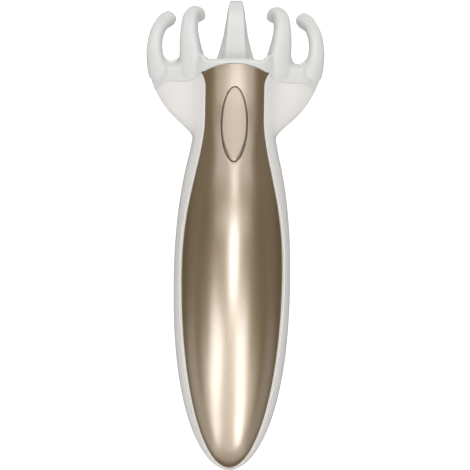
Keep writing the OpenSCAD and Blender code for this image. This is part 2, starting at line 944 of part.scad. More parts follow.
module eccentric_weight() {
    color("gray")
    translate([0, weight_y, motor_z]) rotate([-90, 0, 0]) linear_extrude(weight_len)
        difference() {
            union() {
                intersection() {
                    circle(r = weight_r, $fn = 64);
                    translate([-weight_r, 0]) square([2 * weight_r, weight_r]);
                }
                circle(r = shaft_d / 2 + 1.2, $fn = 48);
            }
            circle(r = shaft_d / 2 + 0.01, $fn = 48);
        }
}

module motor_sleeve() {
    color("darkslategray")
    difference() {
        turned(can_y + 1, can_len - 2, 2 * sleeve_r);
        turned(can_y, can_len, can_d + 0.1);
    }
}

module motor_clamp() {
    color("silver")
    difference() {
        translate([0, clamp_y + clamp_w / 2, motor_z]) rotate([90, 0, 0]) linear_extrude(clamp_w)
            difference() {
                union() {
                    intersection() {
                        circle(r = saddle_r + clamp_t, $fn = 64);
                        translate([-can_d, -can_d]) square([2 * can_d, can_d + bed_z - motor_z]);
                    }
                    translate([-pad_x - clamp_w / 2, bed_z - motor_z - clamp_t])
                        square([2 * pad_x + clamp_w, clamp_t]);
                }
                circle(r = saddle_r, $fn = 64);
            }
        for (side = [-1, 1]) translate([side * pad_x, clamp_y, 0])
            cylinder(h = form_top, d = inner_screw_d + 0.2, $fn = 24);
    }
}

// Cells, springs and contacts

// Cell along +Y from its flat end, with its cap at the other
module cell(x) {
    translate([x, 0, cell_z]) rotate([-90, 0, 0]) {
        cylinder(h = cell_len - cell_cap_h, d = cell_d, $fn = 64);
        cylinder(h = cell_len, d = cell_cap_d, $fn = 32);
    }
}

module cell_left() {
    color("gold") translate([0, bay_foot_y + spring_len, 0]) cell(-cell_pitch / 2);
}

module cell_right() {
    color("gold") translate([0, bay_head_y - spring_len, 0]) mirror([0, 1, 0]) cell(cell_pitch / 2);
}

// Tube of n sides along a list of points
module wire(points, r, n) {
    last = len(points) - 1;
    loft([
        for (k = [0 : last])
            let(
                ahead = points[min(k + 1, last)] - points[max(k - 1, 0)],
                t = ahead / norm(ahead),
                side = cross(t, abs(t[2]) > 0.7 ? [0, 1, 0] : [0, 0, 1]),
                u = side / norm(side),
                v = cross(t, u)
            )
            [for (j = [0 : n - 1]) points[k] + r * (cos(360 * j / n) * u - sin(360 * j / n) * v)]
    ]);
}

// Conical coil from a contact plate to a cell's flat end; dir is +1 or -1 along Y
module cell_spring(x, y, dir) {
    length = spring_len - spring_wire - 0.1;
    wire(
        [for (k = [0 : spring_turns * spring_sides])
            let(
                share = k / (spring_turns * spring_sides),
                r = spring_base_r - (spring_base_r - spring_tip_r) * share,
                a = 360 * k / spring_sides
            )
            [x + r * cos(a), y + dir * (spring_wire / 2 + 0.05 + length * share), cell_z + r * sin(a)]],
        spring_wire / 2, 6
    );
}

module cell_springs() {
    color("silver") {
        cell_spring(-cell_pitch / 2, bay_foot_y, 1);
        cell_spring(cell_pitch / 2, bay_head_y, -1);
    }
}

module cell_contacts() {
    color("silver") for (side = [-1, 1]) {
        translate([side * cell_pitch / 2 - contact_w / 2, bay_head_y, cell_z - contact_w / 2])
            cube([contact_w, contact_t, contact_w]);
        translate([side * tag_x - tag_w / 2, bay_head_y, tag_z])
            cube([tag_w, tag_len, contact_t]);
    }
}

module cell_bridge() {
    color("silver")
    block(-bridge_w / 2, bridge_w / 2, bay_foot_y - contact_t, bay_foot_y, foot_wall_z + 0.4, bay_top_z - 0.3);
}

// Leads

// Quarter turn upwards in the plane x, from the point y, z; dir is +1 or -1 along Y
function bend_up(x, y, z, dir) = [
    for (a = [0 : 30 : 90])
        [x, y + dir * lead_bend_r * sin(a), z + lead_bend_r * (1 - cos(a))]
];

module motor_leads() {
    color("red") for (side = [-1, 1])
        wire(concat(
            [[side * terminal_x, can_y - terminal_len, motor_z]],
            bend_up(side * terminal_x, can_y - terminal_len - lead_d, motor_z, -1),
            [[side * terminal_x, can_y - terminal_len - lead_d - lead_bend_r, board_z]]
        ), lead_d / 2, 8);
}

module battery_leads() {
    start_y = bay_head_y + tag_len;
    start_z = tag_z + contact_t / 2;
    color("black") for (side = [-1, 1])
        wire(concat(
            [for (k = [0 : lead_fall_steps])
                let(s = k / lead_fall_steps)
                [
                    side * tag_x,
                    start_y + lead_fall * s,
                    start_z + (lead_z - start_z) * s * s * (3 - 2 * s)
                ]],
            bend_up(side * tag_x, lead_end_y - lead_bend_r, lead_z, 1),
            [[side * tag_x, lead_end_y, board_z]]
        ), lead_d / 2, 8);
}

// Screws

// Pan head screw: its head stands on z = 0 and its shank reaches down
module screw(d, head_d, head_h, length) {
    difference() {
        union() {
            cylinder(h = head_h, d = head_d, $fn = 32);
            translate([0, 0, -length]) cylinder(h = length + 0.5, d = d, $fn = 24);
        }
        for (a = [0, 90]) rotate(a)
            translate([-head_d * 0.3, -head_d * 0.06, head_h * 0.5])
                cube([head_d * 0.6, head_d * 0.12, head_h]);
    }
}

module cover_screws() {
    color("silver") for (p = cover_posts)
        translate([p[0], p[1], seat_z(p)]) mirror([0, 0, 1])
            screw(cover_screw_d, cover_head_d, cover_head_h, post_seat_t + post_bore - 1);
}

module chassis_screws() {
    color("silver") for (p = chassis_ears)
        translate([p[0], p[1], bed_z + ear_t])
            screw(inner_screw_d, inner_head_d, inner_head_h, ear_t + inner_bore - 1);
}

module carrier_screws() {
    color("silver") for (p = carrier_bosses)
        translate([p[0], p[1], bed_z + carrier_t])
            screw(inner_screw_d, inner_head_d, inner_head_h, carrier_t + inner_bore - 1);
}

module clamp_screws() {
    color("silver") for (side = [-1, 1])
        translate([side * pad_x, clamp_y, bed_z - clamp_t]) mirror([0, 0, 1])
            screw(inner_screw_d, inner_head_d, inner_head_h, clamp_t + rail_t - 0.5);
}

module board_screws() {
    color("silver") for (side = [-1, 1])
        translate([side * pad_x, board_screw_y, board_top_z])
            screw(inner_screw_d, inner_head_d, inner_head_h, board_t + rail_t - 0.5);
}

rear_housing();
front_cover();
claw();
claw_carrier();
power_button();
button_gasket();
battery_door();
chassis();
circuit_board();
board_parts();
push_switch();
switch_plunger();
motor_can();
motor_bush();
motor_shaft();
eccentric_weight();
motor_sleeve();
motor_clamp();
cell_left();
cell_right();
cell_springs();
cell_contacts();
cell_bridge();
motor_leads();
battery_leads();
cover_screws();
chassis_screws();
carrier_screws();
clamp_screws();
board_screws();
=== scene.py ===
import math

import bmesh
import bpy
import numpy as np
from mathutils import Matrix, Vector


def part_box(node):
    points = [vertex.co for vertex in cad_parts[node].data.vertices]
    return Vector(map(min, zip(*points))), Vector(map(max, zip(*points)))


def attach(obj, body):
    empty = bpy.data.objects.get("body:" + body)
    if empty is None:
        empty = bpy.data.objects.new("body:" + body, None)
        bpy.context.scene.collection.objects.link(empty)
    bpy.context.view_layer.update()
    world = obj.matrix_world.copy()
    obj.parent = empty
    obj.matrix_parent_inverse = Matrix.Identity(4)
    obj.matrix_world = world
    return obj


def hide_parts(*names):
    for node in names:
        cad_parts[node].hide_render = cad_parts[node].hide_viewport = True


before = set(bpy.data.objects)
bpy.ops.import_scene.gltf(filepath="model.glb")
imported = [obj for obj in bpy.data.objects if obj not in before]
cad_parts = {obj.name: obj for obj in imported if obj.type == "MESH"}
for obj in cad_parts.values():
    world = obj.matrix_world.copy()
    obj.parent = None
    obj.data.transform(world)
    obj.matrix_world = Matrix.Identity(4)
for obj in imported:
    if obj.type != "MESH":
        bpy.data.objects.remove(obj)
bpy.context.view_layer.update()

mm = 0.001  # every shape below is worked out in millimetres, in the part's own frame

bodyShape = dict(
    handleW=52.1, widestY=-20,  # the handle's widest section, seen from the front
    footLen=105, footPower=2.3,  # distance to the foot, and how full the foot end is
    taperLen=85, neckPower=2.1,  # run of the taper towards the neck, and its curve
    neckW=36, neckBlend=3,  # neck column, and the rounding where the taper meets it
    crownH=20.5, bellyH=19.5, bellyY=-12,  # front and back of the deepest section
    crownLen=73, crownPower=2.35, neckH=11.8,  # fall of the front to the neck's height
    neckFull=0.45, neckFullY=30, neckFullRun=26,  # how full the neck's front gets, and where
    hoodY=76.9, hoodRun=2.6,  # rounded end of the front column inside the hood
    headR=39, headY=80.5, webH=5.5, shoulderBlend=8,  # flared head and its flat shoulders
    palmH=6, palmEndY=78.6, palmRoundRun=4.6,  # palm's depth and its rounded front edge
)
partingZ = bodyShape["bellyH"]


def roundMax(a, b, k):
    # the larger of a and b, rounded over k where they are nearly equal
    k = np.maximum(k, 1e-6)
    return np.maximum(a, b) + np.maximum(k - np.abs(a - b), 0) ** 2 / (4 * k)


def arch(u, power):
    # falls from 1 at u = 0 to 0 at u = 1: the square root of 1 - u to the power
    return np.sqrt(1 - np.clip(u, 0, 1) ** power)


def smoothStep(u):
    # rises from 0 at u = 0 to 1 at u = 1 and is level at both: 3 u squared - 2 u cubed
    u = np.clip(u, 0, 1)
    return u * u * (3 - 2 * u)


def ovalR(t, a, b, power=2):
    # radius of an oval at the angle t; a power over 2 flattens its top and fills its corners
    return (np.abs(np.cos(t) / a) ** power + np.abs(np.sin(t) / b) ** power) ** (-1 / power)


def handleHalf(y, d):
    # half width at station y, d below the skin: an arch to the foot, a taper to the neck
    b = bodyShape
    full = b["handleW"] / 2 - d
    foot = full * arch((b["widestY"] - y) / (b["footLen"] + b["widestY"] - d), b["footPower"])
    taper = full * arch((y - b["widestY"]) / b["taperLen"], b["neckPower"])
    return np.where(y < b["widestY"], foot, roundMax(taper, b["neckW"] / 2 - d, b["neckBlend"]))


def headHalf(y, d):
    # half width of the round head
    b = bodyShape
    return np.sqrt(np.maximum((b["headR"] - d) ** 2 - (y - b["headY"]) ** 2, 1e-6))


def palmRound(y):
    # 1 along the part, falling to 0 at the palm's front edge
    b = bodyShape
    return arch((y - b["palmEndY"]) / b["palmRoundRun"] + 1, 2)


def footArch(y, d):
    # falls from 1 at the deepest section to 0 at the foot
    b = bodyShape
    return arch((b["bellyY"] - y) / (b["footLen"] + b["bellyY"] - d), b["footPower"])


def crown(y, d):
    # height of the front: an arch to the foot, a fall to the neck and a round end at the hood
    b = bodyShape
    foot = (b["crownH"] - d) * footArch(y, d)
    s = np.clip((y - b["bellyY"]) / b["crownLen"], 0, 1)
    front = b["neckH"] - d + (b["crownH"] - b["neckH"]) * (1 - s ** b["crownPower"]) ** 2
    return np.where(y < b["bellyY"], foot, front * arch((y - b["hoodY"]) / b["hoodRun"], 2))


def belly(y, d):
    # depth of the back: an arch to the foot and a fall to the palm
    b = bodyShape
    foot = (b["bellyH"] - d) * footArch(y, d)
    fall = arch((y - b["bellyY"]) / (b["palmEndY"] - b["bellyY"]), b["crownPower"])
    back = (b["palmH"] - d + (b["bellyH"] - b["palmH"]) * fall) * palmRound(y)
    return np.where(y < b["bellyY"], foot, back)


def skinR(y, t, d):
    # distance from the centre line at angle t: the handle's oval, joined to the head's flat oval
    b = bodyShape
    height = np.maximum(np.where(np.sin(t) > 0, crown(y, d), belly(y, d)), 0.02)
    neck = b["neckFull"] * smoothStep((y - b["neckFullY"]) / b["neckFullRun"])
    power = 2 + np.where(np.sin(t) > 0, neck, 0)
    column = ovalR(t, np.maximum(handleHalf(y, d), 0.02), height, power)
    head = headHalf(y, d)
    flat = ovalR(t, head, np.maximum((b["webH"] - d) * palmRound(y), 0.02))
    joined = roundMax(column, flat, b["shoulderBlend"] * palmRound(y))
    return np.where(head > 1, joined, column)


def flatness(y):
    # height of a section as a share of its half width
    wide = np.maximum(np.maximum(handleHalf(y, 0), headHalf(y, 0)), 0.5)
    return np.clip(np.maximum(crown(y, 0), bodyShape["webH"]) / wide, 0.05, 2)


def skinPoint(y, s, d):
    # s is the angle round the section, closer together at a flat edge
    t = np.arctan2(flatness(y) * np.sin(s), np.cos(s))
    r = skinR(y, t, d)
    return np.stack([r * np.cos(t), y + 0 * r, partingZ + r * np.sin(t)], -1)


def heightAt(x, y, d, side):
    # height of the skin over the point x, y, on the front (side 1) or the back (side -1):
    # halves the range of the angle t until r cos t meets x
    x, y = np.broadcast_arrays(np.abs(np.asarray(x, float)), np.asarray(y, float))
    low, high = np.zeros(x.shape), np.full(x.shape, math.pi / 2)
    for _ in range(40):
        mid = (low + high) / 2
        outside = skinR(y, side * mid, d) * np.cos(mid) > x
        low, high = np.where(outside, mid, low), np.where(outside, high, mid)
    t = (low + high) / 2
    return partingZ + side * skinR(y, side * t, d) * np.sin(t)


def frontRing(xy, d, drop):
    # the points laid on the front's skin, d below it along the section and lowered by drop
    return np.column_stack([xy, heightAt(xy[:, 0], xy[:, 1], d, 1) - drop])


def backRing(xy, d, rise):
    # the same on the back, raised by rise
    return np.column_stack([xy, heightAt(xy[:, 0], xy[:, 1], d, -1) + rise])


def quarterTurns(steps):
    # angles from 0 to a right angle, for a rounded edge
    return np.linspace(0, math.pi / 2, steps)


def gridFaces(rows, cols, wrap=False):
    # quads of a grid of points, numbered row by row; wrap joins the last column to the first
    r, c = np.meshgrid(np.arange(rows - 1), np.arange(cols if wrap else cols - 1), indexing="ij")
    a, b = r * cols + c, r * cols + (c + 1) % cols
    return np.stack([a, b, b + cols, a + cols], -1).reshape(-1, 4)


def tube(rings):
    # points and quads of a list of rings; it is closed where its end rings are shrunk to a pole
    rings = np.array(rings)
    return rings.reshape(-1, 3), gridFaces(len(rings), rings.shape[1], True)


def turned(part):
    # the same points with the faces the other way round
    points, faces = part
    return points, faces[:, ::-1]


def joinParts(parts):
    # one list of points and one of quads from several
    points, faces, count = [], [], 0
    for p, f in parts:
        points.append(p)
        faces.append(f + count)
        count += len(p)
    return np.concatenate(points), np.concatenate(faces)


def makePiece(name, points, faces, material, weld=2e-6, sharp=35):
    # a mesh object with its poles welded (weld is in metres), loose points deleted and edges
    # sharper than the angle marked
    mesh = bpy.data.meshes.new(name)
    mesh.from_pydata(np.asarray(points, float) * mm, [], np.asarray(faces).tolist())
    mesh.validate()
    work = bmesh.new()
    work.from_mesh(mesh)
    bmesh.ops.remove_doubles(work, verts=work.verts, dist=weld)
    bmesh.ops.dissolve_degenerate(work, edges=work.edges, dist=weld)
    bmesh.ops.delete(work, geom=[v for v in work.verts if not v.link_faces], context="VERTS")
    work.to_mesh(mesh)
    work.free()
    mesh.shade_smooth()
    mesh.set_sharp_from_angle(angle=math.radians(sharp))
    mesh.materials.append(material)
    piece = bpy.data.objects.new(name, mesh)
    bpy.context.scene.collection.objects.link(piece)
    return piece


def newMaterial(name):
    # a new material with its node tree and its surface shader
    material = bpy.data.materials.new(name)
    material.use_nodes = True
    tree = material.node_tree
    return material, tree, tree.nodes["Principled BSDF"]


def addNode(tree, kind, **values):
    # a node with its input values and settings
    node = tree.nodes.new(kind)
    for key, value in values.items():
        if key in node.inputs:
            node.inputs[key].default_value = value
        else:
            setattr(node, key, value)
    return node


def objectNoise(tree, scale, detail):
    # noise in the object's own coordinates; scale is in features per metre
    place = addNode(tree, "ShaderNodeTexCoord")
    noise = addNode(tree, "ShaderNodeTexNoise", Scale=scale, Detail=detail, Roughness=0.5)
    tree.links.new(place.outputs["Object"], noise.inputs["Vector"])
    return noise.outputs["Fac"]


def rangeOf(tree, socket, low, high):
    # the socket's 0 to 1 spread over low to high
    node = addNode(tree, "ShaderNodeMapRange")
    node.inputs["To Min"].default_value, node.inputs["To Max"].default_value = low, high
    tree.links.new(socket, node.inputs["Value"])
    return node.outputs["Result"]


def colourBetween(tree, socket, first, second):
    # the first colour where the socket is 0, the second where it is 1
    mix = addNode(tree, "ShaderNodeMix", data_type="RGBA")
    mix.inputs[6].default_value = (*first, 1)
    mix.inputs[7].default_value = (*second, 1)
    tree.links.new(socket, mix.inputs[0])
    return mix.outputs[2]


def bumpFrom(tree, socket, strength, distance):
    # a normal from the socket's relief; the distance is in metres
    bump = addNode(tree, "ShaderNodeBump", Strength=strength, Distance=distance)
    tree.links.new(socket, bump.inputs["Height"])
    return bump.outputs["Normal"]


def makeFinish(name, look):
    # the colour, the roughness and the relief each follow a noise, given as scale and detail
    material, tree, shader = newMaterial(name)
    tint = objectNoise(tree, *look["tintNoise"])
    gloss = objectNoise(tree, *look["glossNoise"])
    relief = objectNoise(tree, *look["reliefNoise"])
    colour = colourBetween(tree, tint, look["dark"], look["light"])
    tree.links.new(colour, shader.inputs["Base Color"])
    tree.links.new(rangeOf(tree, gloss, *look["rough"]), shader.inputs["Roughness"])
    tree.links.new(bumpFrom(tree, relief, *look["bump"]), shader.inputs["Normal"])
    for socket, value in look["sockets"].items():
        shader.inputs[socket].default_value = value
    return material


lacquerLook = dict(  # champagne metallic lacquer: fine flakes under a clear, strong coat
    dark=(0.25, 0.170, 0.082), light=(0.36, 0.245, 0.120), rough=(0.36, 0.41), bump=(0.02, 0.0001),
    tintNoise=(3600, 2), glossNoise=(45, 3), reliefNoise=(3600, 2),
    sockets={
        "Metallic": 0.65, "Specular IOR Level": 0,
        "Coat Weight": 0.68, "Coat IOR": 4.0, "Coat Roughness": 0.26,
    },
)
keyLook = dict(  # the same lacquer, paler and with a satin surface
    dark=(0.46, 0.378, 0.302), light=(0.5, 0.42, 0.34), rough=(0.41, 0.47), bump=(0.03, 0.0001),
    tintNoise=(4200, 2), glossNoise=(4200, 2), reliefNoise=(4200, 2),
    sockets={"Metallic": 0.85, "Coat Weight": 0.25, "Coat Roughness": 0.3},
)
whiteLook = dict(  # glossy moulded shell with a slight orange peel
    dark=(0.62, 0.605, 0.585), light=(0.65, 0.63, 0.605), rough=(0.3, 0.36), bump=(0.02, 0.0002),
    tintNoise=(30, 4), glossNoise=(30, 4), reliefNoise=(420, 2),
    sockets={
        "Coat Weight": 0.25, "Coat Roughness": 0.3,
        "Subsurface Weight": 0.08, "Subsurface Radius": (0.002, 0.002, 0.002),
    },
)
softLook = dict(  # translucent elastomer
    dark=(0.56, 0.56, 0.55), light=(0.59, 0.59, 0.575), rough=(0.36, 0.44), bump=(0.05, 0.0001),
    tintNoise=(60, 4), glossNoise=(60, 4), reliefNoise=(1800, 2),
    sockets={
        "Subsurface Weight": 0.25, "Subsurface Radius": (0.004, 0.0035, 0.003),
        "Subsurface Scale": 1.0,
    },
)
stockLook = dict(
    tintNoise=(300, 3), glossNoise=(300, 3), reliefNoise=(300, 3), bump=(0.05, 0.0001),
)


def plainStock(name, dark, light, rough, metallic=0.0):
    # moulded or drawn stock: two close colours and a roughness that wanders a little
    wander = 0.04
    return makeFinish(name, dict(
        stockLook, dark=dark, light=light, rough=(rough - wander, rough + wander),
        sockets={"Metallic": metallic},
    ))


print("materials")
champagne = makeFinish("champagne_lacquer", lacquerLook)
keySatin = makeFinish("satin_key", keyLook)
white = makeFinish("glossy_white", whiteLook)
elastomer = makeFinish("soft_elastomer", softLook)
innerFinishes = {
    "claw_carrier": plainStock("grey_nylon", (0.09, 0.09, 0.095), (0.12, 0.12, 0.125), 0.5),
    "button_gasket": plainStock("black_rubber", (0.012, 0.012, 0.014), (0.02, 0.02, 0.022), 0.7),
    "chassis": plainStock("grey_abs", (0.15, 0.16, 0.18), (0.18, 0.19, 0.21), 0.45),
    "circuit_board": plainStock("solder_mask", (0.01, 0.09, 0.04), (0.015, 0.13, 0.06), 0.3),
    "board_parts": plainStock("component_black", (0.02, 0.02, 0.03), (0.04, 0.04, 0.05), 0.4),
    "switch_plunger": plainStock("white_acetal", (0.75, 0.75, 0.74), (0.8, 0.8, 0.79), 0.35),
    "motor_can": plainStock("drawn_steel", (0.42, 0.42, 0.43), (0.5, 0.5, 0.51), 0.3, 1.0),
    "motor_bush": plainStock("turned_brass", (0.6, 0.42, 0.15), (0.68, 0.5, 0.2), 0.3, 1.0),
    "cell_left": plainStock("cell_sleeve", (0.2, 0.2, 0.21), (0.26, 0.26, 0.27), 0.35, 0.6),
    "motor_leads": plainStock("red_pvc", (0.4, 0.01, 0.01), (0.5, 0.02, 0.02), 0.4),
    "battery_leads": plainStock("black_pvc", (0.01, 0.01, 0.01), (0.02, 0.02, 0.02), 0.4),
}
innerFinishes["cell_right"] = innerFinishes["cell_left"]
innerFinishes["push_switch"] = innerFinishes["board_parts"]
innerFinishes["motor_sleeve"] = innerFinishes["button_gasket"]
for name in (  # these are steel too
    "motor_shaft eccentric_weight motor_clamp cell_springs cell_contacts cell_bridge "
    "cover_screws chassis_screws carrier_screws clamp_screws board_screws"
).split():
    innerFinishes[name] = innerFinishes["motor_can"]
for name, finish in innerFinishes.items():
    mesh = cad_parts[name].data
    mesh.materials.clear()
    mesh.materials.append(finish)

coverShape = dict(
    w=44.7, wideY=-18, footY=-103.8,  # widest section and the foot
    neckW=26, taperLen=70,  # width beside the key, and the run of the taper to it
    topW=29.6, cornerY=72, flareLen=6, arcR=26.6,  # top corners and the arched top edge
    wall=1.9, gap=0.15, rim=0.3, keyRim=0.28,  # wall, gap round it and its rounded edges
    sideRows=(70, 110), arcCols=36, rings=96, edgeSteps=6, underRings=14,  # mesh
)
keyShape = dict(w=12, length=34, y=49.3, gap=0.5, proud=0.3)  # opening, its place, key's fit


def coverHalf(y, m):
    # half width at station y of the cover's outline, grown by m
    c = coverShape
    foot = (c["w"] / 2 + m) * arch((c["wideY"] - y) / (c["wideY"] - c["footY"] + m), 2)
    s = np.clip((y - c["wideY"]) / c["taperLen"], 0, 1)
    flare = np.maximum(y - c["cornerY"] + c["flareLen"], 0) / c["flareLen"]
    taper = (
        c["neckW"] / 2 + m
        + (c["w"] - c["neckW"]) / 2 * (1 - s ** bodyShape["crownPower"]) ** 2
        + (c["topW"] - c["neckW"]) / 2 * flare ** 2
    )
    return np.where(y < c["wideY"], foot, taper)


def coverCorner(m):
    # where the grown side meets the grown arc, found by stepping from one to the other
    c = coverShape
    arcY = c["cornerY"] - math.sqrt(c["arcR"] ** 2 - (c["topW"] / 2) ** 2)
    y = c["cornerY"]
    for _ in range(8):
        y = arcY + math.sqrt((c["arcR"] + m) ** 2 - float(coverHalf(np.array(y), m)) ** 2)
    return float(coverHalf(np.array(y), m)), y, arcY


def coverOutline(m):
    # closed outline, anticlockwise from the foot: the side by angle, then by height, then the arc
    c = coverShape
    foot, taper = c["sideRows"]
    cornerX, cornerY, arcY = coverCorner(m)
    a = np.linspace(0, math.pi / 2, foot, endpoint=False)
    footY = c["wideY"] - (c["wideY"] - c["footY"] + m) * np.cos(a)
    sideY = np.concatenate([footY, np.linspace(c["wideY"], cornerY, taper)])
    side = np.stack([coverHalf(sideY, m), sideY], -1)
    side[0, 0] = 0
    reach = math.asin(cornerX / (c["arcR"] + m))
    b = np.linspace(reach, -reach, c["arcCols"] + 1)[1:-1]
    arc = np.stack([(c["arcR"] + m) * np.sin(b), arcY + (c["arcR"] + m) * np.cos(b)], -1)
    return np.concatenate([side, arc, side[:0:-1] * [-1, 1]])


def keyOval(points, m):
    # the points moved along rays from the key's centre onto its oval, grown by m
    k = keyShape
    away = points - [0, k["y"]]
    a, b = k["w"] / 2 + m, k["length"] / 2 + m
    return [0, k["y"]] + away / np.hypot(away[:, :1] / a, away[:, 1:] / b)


def buildCover():
    # rings of points: up the key opening's wall, over its rounded rim, across the crown along
    # rays from the key's centre, over the outer rim, down and back underneath
    c = coverShape
    turns = quarterTurns(c["edgeSteps"])
    outer = coverOutline(-c["rim"])
    inner = keyOval(outer, c["keyRim"])
    under = keyOval(outer, 0)
    rings = []
    for a in turns[:-1]:
        m, drop = c["keyRim"] * (1 - math.cos(a)), c["keyRim"] * (1 - math.sin(a))
        rings.append(frontRing(keyOval(outer, m), 0, drop))
    for share in np.linspace(0, 1, c["rings"]):
        rings.append(frontRing(inner + (outer - inner) * share, 0, 0))
    for a in turns[::-1][1:]:
        m, drop = -c["rim"] * (1 - math.cos(a)), c["rim"] * (1 - math.sin(a))
        rings.append(frontRing(coverOutline(m), 0, drop))
    rings.append(frontRing(coverOutline(0), 0, c["wall"]))
    for share in np.linspace(0, 1, c["underRings"])[1:-1]:
        rings.append(frontRing(outer + (under - outer) * share, c["wall"], 0))
    rings.append(frontRing(under, 0, c["wall"]))
    rings.append(rings[0])
    return makePiece("cover_shell", *turned(tube(rings)), champagne)


print("front cover")
cover = buildCover()
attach(cover, "handle")
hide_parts("front_cover")

keyFace = dict(
    edge=0.35, bevelW=1.5, bevelDrop=0.9, bevelFrom=4.0,  # rounded rim, and the bevel below
    wall=3.12, hollow=2.2,  # depth of the outer wall, and of the underside's middle
    flangeW=1.6, flangeTop=3.4, flangeBottom=4.4,  # the rim that holds the key in
    cols=220, rings=30, crowd=0.8, edgeSteps=8,  # mesh; crowd draws the rings to the rim
)


def buildKey():
    # rings from the face's middle over its rounded rim, down the wall and round the flange;
    # the lower end has a bevel that widens towards its point
    k, f = keyShape, keyFace
    a = np.linspace(0, 2 * math.pi, f["cols"], endpoint=False)
    unit = np.stack([np.cos(a), np.sin(a)], -1)
    half = np.array([k["w"] / 2 - k["gap"], k["length"] / 2 - k["gap"]])
    low = smoothStep((-unit[:, 1:] * half[1] - f["bevelFrom"]) / (half[1] - f["bevelFrom"]))
    bevel = f["edge"] + f["bevelW"] * low
    bevelDrop = f["edge"] + (f["bevelDrop"] - f["edge"]) * low[:, 0]
    centre = np.array([0, k["y"]])
    faceEdge = unit * (half - bevel)
    wall = centre + unit * half
    flange = centre + unit * (half + f["flangeW"])
    rings = []
    for share in np.linspace(0, 1, f["rings"]) ** f["crowd"]:
        rings.append(frontRing(centre + faceEdge * max(share, 1e-5), 0, -k["proud"]))
    for turn in quarterTurns(f["edgeSteps"])[1:]:
        xy = centre + faceEdge + (unit * half - faceEdge) * math.sin(turn)
        rings.append(frontRing(xy, 0, bevelDrop * (1 - math.cos(turn)) - k["proud"]))
    rings.append(frontRing(wall, 0, f["wall"]))
    rings.append(frontRing(wall, 0, f["flangeTop"]))
    rings.append(frontRing(flange, 0, f["flangeTop"]))
    bottom = frontRing(flange, 0, f["flangeBottom"])
    bottom[:, 2] = np.maximum(bottom[:, 2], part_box("power_button")[0].z / mm)
    rings.append(bottom)
    underZ = frontRing(wall, 0, f["hollow"])[:, 2].min()
    rings.append(np.column_stack([centre + unit * 1e-4, np.full(len(unit), underZ)]))
    return makePiece("key_cap", *turned(tube(rings)), keySatin)


print("power key")
key = buildKey()
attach(key, "key")
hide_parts("power_button")

seamShape = dict(
    y=68.15, inX=22.6, outX=30,  # level stretch of the seam across each shoulder
    cornerX=14.9, rise=4.65,  # its rise towards the cover's corner
    drop=5.5, dropRun=6,  # its fall towards the silhouette
)


def seam(x):
    # station of the seam: level, with a squared rise inwards and a squared fall outwards
    s = seamShape
    x = np.maximum(np.abs(x), s["cornerX"])
    return (
        s["y"]
        + s["rise"] * (np.maximum(s["inX"] - x, 0) / (s["inX"] - s["cornerX"])) ** 2
        - s["drop"] * (np.maximum(x - s["outX"], 0) / s["dropRun"]) ** 2
    )


housingShape = dict(
    rim=0.3, lip=1.6, wall=1.2,  # rounded edge of the opening, its lip, and the shell
    headFrom=52, seamSteps=12,  # where rows start to bend to the seam, and steps to find it
    footRows=64, taperRows=90, headRows=44, wallCols=6, bandCols=40, backCols=56,  # mesh
)
doorShape = dict(
    w=33, footY=-80, latchY=-18.5, corner=3.0, wall=2.0, gap=0.3,
    blockY=(-85, -13), blockInset=9,  # part of the housing's mesh that is remade round it
)
screwHoles = dict(places=((0, -91), (-12, 0), (12, 0)), r=3.0, depth=4.0, block=5)
openingEdge = dict(rim=0.25, rings=13, steps=5)


def housingRows():
    # stations of the silhouette and of the opening's edge, row by row from the foot, and the
    # share q of the way to the seam
    h, b, c = housingShape, bodyShape, coverShape
    a = np.linspace(0, math.pi / 2, h["footRows"], endpoint=False)
    sideFoot = b["widestY"] - (b["footLen"] + b["widestY"]) * np.cos(a)
    edgeFoot = c["wideY"] - (c["wideY"] - c["footY"] + c["gap"]) * np.cos(a)
    sideTaper = np.linspace(b["widestY"], h["headFrom"], h["taperRows"], endpoint=False)
    edgeTaper = np.linspace(c["wideY"], h["headFrom"], h["taperRows"], endpoint=False)
    q = np.linspace(0, 1, h["headRows"])
    return (
        np.concatenate([sideFoot, sideTaper, h["headFrom"] + 0 * q]),
        np.concatenate([edgeFoot, edgeTaper, h["headFrom"] + 0 * q]),
        np.concatenate([0 * sideFoot, 0 * sideTaper, q]),
    )


def followSeam(base, s, q):
    # skin points at angle s, whose stations move from base to the seam as q goes from 0 to 1
    y = base
    for _ in range(housingShape["seamSteps"]):
        y = base + (seam(skinPoint(y, s, 0)[:, 0]) - housingShape["headFrom"]) * q
    return skinPoint(y, s, 0)


def edgePoint(edgeY, q, m):
    # point of the opening's edge, grown by m
    y = edgeY + (seamShape["y"] + seamShape["rise"] - housingShape["headFrom"]) * q
    x = coverHalf(y, m)
    return np.stack([x, y, heightAt(x, y, 0, 1)], -1)


def housingGrid(sideY, edgeY, q):
    # columns from the opening's lip over its rounded edge and round the side to the middle of
    # the back, then the same mirrored
    h, gap = housingShape, coverShape["gap"]
    columns = [edgePoint(edgeY, q, gap) - [0, 0, h["lip"]]]
    for a in quarterTurns(h["wallCols"])[:0:-1]:
        edge = edgePoint(edgeY, q, gap + h["rim"] * (1 - math.sin(a)))
        columns.append(edge - [0, 0, h["rim"] * (1 - math.cos(a))])
    x, y, z = edgePoint(edgeY, q, gap + h["rim"]).T
    t = np.where(x < 1e-3, math.pi / 2, np.arctan2(z - partingZ, np.maximum(x, 1e-9)))
    edgeS = np.arctan2(np.sin(t), np.cos(t) * np.maximum(flatness(y), 1e-3))
    for w in np.linspace(0, 1, h["bandCols"]):
        columns.append(followSeam(sideY + (edgeY - sideY) * (1 - w) ** 2, edgeS * (1 - w), q))
    for s in np.linspace(0, -math.pi / 2, h["backCols"])[1:]:
        columns.append(followSeam(sideY, np.full(len(q), s), q))
    right = np.array(columns).transpose(1, 0, 2)
    right[:, -1, 0] = 0
    return np.concatenate([right, right[:, -2::-1] * [-1, 1, 1]], 1)


